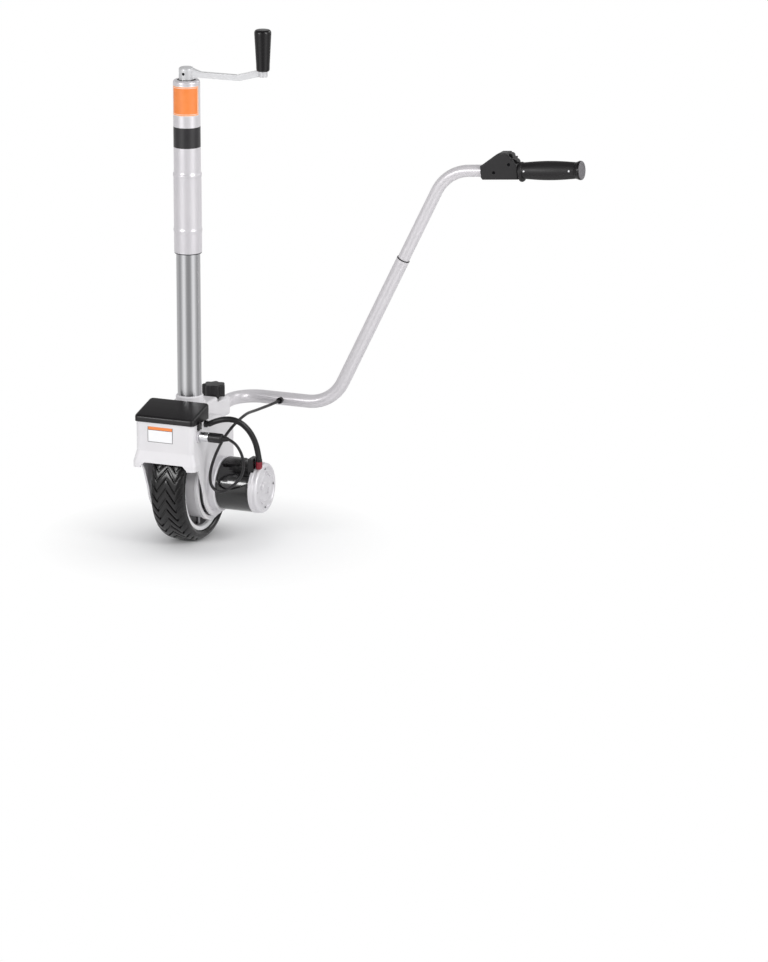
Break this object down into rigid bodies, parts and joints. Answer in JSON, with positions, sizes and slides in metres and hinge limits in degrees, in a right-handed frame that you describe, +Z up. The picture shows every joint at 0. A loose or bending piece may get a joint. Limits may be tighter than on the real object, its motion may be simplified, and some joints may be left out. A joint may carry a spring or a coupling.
{
  "type": "trailer dolly",
  "caption": "Telescopic crank post on a motor driven wheel in a fork housing, with a control box and a cranked steering handle with a rocker switch grip.",
  "frame": {"origin": "on the jack post's axis, at the middle of the smooth band between its two beads, where the trailer's clamp holds it", "axes": "+Z up along the post's axis, +X along the wheel's axle towards the motor, +Y away from the control box towards the handle's socket"},
  "size_m": [0.7676, 0.3658, 0.9842],
  "materials": {
    "silver_paint": "light silver grey powder coat on steel",
    "casting_paint": "very light grey paint on a sheet and cast housing",
    "rim_paint": "white grey paint on a pressed steel rim",
    "motor_paint": "gloss black enamel",
    "chrome_plate": "polished chrome plate",
    "satin_tube": "satin zinc plated steel tube",
    "steel": "machined steel",
    "cast_aluminium": "die cast aluminium",
    "bronze": "bearing bronze",
    "black_plastic": "fine textured moulded black plastic",
    "gloss_black_plastic": "smooth moulded black plastic",
    "grip_rubber": "soft moulded black rubber",
    "cable_sheath": "black rubber cable sheath",
    "red_rubber": "dark red moulded rubber",
    "tyre_rubber": "black tyre rubber",
    "circuit_board": "green solder mask",
    "ferrite": "dark grey ferrite",
    "carbon": "pressed carbon"
  },
  "bodies": {
    "post": {"outer_tube": "silver_paint", "guide_bush": "black_plastic", "tube_cap": "silver_paint", "thrust_bearing": "steel"},
    "crank": {"lift_screw": "steel", "crank_arm": "satin_tube", "roll_pin": "steel", "grip_spindle": "steel"},
    "crank_grip": {"crank_grip": "grip_rubber"},
    "lift_carriage": {"lift_nut": "bronze", "swivel_rings": "steel"},
    "fork": {"inner_tube": "chrome_plate", "foot_collar": "casting_paint", "fork_housing": "casting_paint", "steering_bridge": "casting_paint", "control_lid": "black_plastic", "control_board": "circuit_board", "lid_clips": "gloss_black_plastic", "cable_gland": "gloss_black_plastic", "control_socket": "cast_aluminium", "plug_body": "black_plastic", "axle": "steel", "gear_carrier": "steel", "motor_flange": "cast_aluminium", "motor_can": "motor_paint", "motor_magnets": "ferrite", "motor_bearings": "steel", "motor_end_cap": "cast_aluminium", "motor_brushes": "carbon", "motor_strap": "gloss_black_plastic", "terminal_boot": "red_rubber", "lower_handle": "satin_tube", "upper_handle": "satin_tube", "button_spring": "steel", "cable_grommet": "gloss_black_plastic", "switch_block": "black_plastic", "hand_grip": "grip_rubber", "grip_end": "grip_rubber", "cover_screws": "steel", "switch_front_shell": "black_plastic", "switch_back_shell": "black_plastic", "power_cable": "cable_sheath", "control_cable": "cable_sheath"},
    "plug_ring": {"plug_ring": "chrome_plate"},
    "clamp_knob": {"clamp_knob": "black_plastic", "clamp_screw": "steel"},
    "wheel": {"tyre": "tyre_rubber", "wheel_rim": "rim_paint", "valve_stem": "steel", "wheel_hub": "steel", "wheel_bolts": "steel", "gear_drum": "casting_paint", "axle_bearings": "steel"},
    "rotor": {"motor_armature": "steel", "motor_shaft": "steel"},
    "planet_1": {"planet_gear_1": "steel"},
    "planet_2": {"planet_gear_2": "steel"},
    "planet_3": {"planet_gear_3": "steel"},
    "spring_button": {"spring_button": "steel"},
    "rocker": {"rocker_switch": "gloss_black_plastic"}
  },
  "joints": [
    {"name": "lift_slide", "type": "slide", "parent": "post", "child": "lift_carriage", "axis": [0, 0, 1], "range_m": [0, 0.215]},
    {"name": "fork_swivel", "type": "hinge", "parent": "lift_carriage", "child": "fork", "pos_m": [0, 0, 0], "axis": [0, 0, 1], "continuous": true},
    {"name": "crank_turn", "type": "hinge", "parent": "post", "child": "crank", "pos_m": [0, 0, 0.2], "axis": [0, 0, 1], "range_deg": [0, 19351]},
    {"name": "crank_grip_spin", "type": "hinge", "parent": "crank", "child": "crank_grip", "pos_m": [0.1547, 0, 0.3], "axis": [0, 0, 1], "continuous": true},
    {"name": "wheel_spin", "type": "hinge", "parent": "fork", "child": "wheel", "pos_m": [0, 0, -0.536], "axis": [1, 0, 0], "continuous": true},
    {"name": "rotor_spin", "type": "hinge", "parent": "fork", "child": "rotor", "pos_m": [0, 0, -0.536], "axis": [1, 0, 0], "continuous": true},
    {"name": "clamp_knob_turn", "type": "hinge", "parent": "fork", "child": "clamp_knob", "pos_m": [0, 0.11, -0.3975], "axis": [0, 0, 1], "range_deg": [0, 720]},
    {"name": "rocker_press", "type": "hinge", "parent": "fork", "child": "rocker", "pos_m": [0.56134, 0.23, 0.08313], "axis": [0, 1, 0], "range_deg": [-8, 8], "stiffness_Nm_per_rad": 0.05},
    {"name": "plug_ring_turn", "type": "hinge", "parent": "fork", "child": "plug_ring", "pos_m": [0.07, -0.086, -0.424], "axis": [1, 0, 0], "range_deg": [0, 90]},
    {"name": "spring_button_press", "type": "slide", "parent": "fork", "child": "spring_button", "axis": [0, -1, 0], "range_m": [0, 0.0035], "stiffness_N_per_m": 300},
    {"name": "planet_1_spin", "type": "hinge", "parent": "fork", "child": "planet_1", "pos_m": [0.028, 0, -0.572], "axis": [1, 0, 0], "continuous": true},
    {"name": "planet_2_spin", "type": "hinge", "parent": "fork", "child": "planet_2", "pos_m": [0.028, 0.03118, -0.518], "axis": [1, 0, 0], "continuous": true},
    {"name": "planet_3_spin", "type": "hinge", "parent": "fork", "child": "planet_3", "pos_m": [0.028, -0.03118, -0.518], "axis": [1, 0, 0], "continuous": true}
  ],
  "couplings": [
    {"joint": "crank_turn", "follows": "lift_slide", "rad_per_m": 1570.8},
    {"joint": "rotor_spin", "follows": "wheel_spin", "ratio": -5},
    {"joint": "planet_1_spin", "follows": "wheel_spin", "ratio": 2.5},
    {"joint": "planet_2_spin", "follows": "wheel_spin", "ratio": 2.5},
    {"joint": "planet_3_spin", "follows": "wheel_spin", "ratio": 2.5}
  ]
}
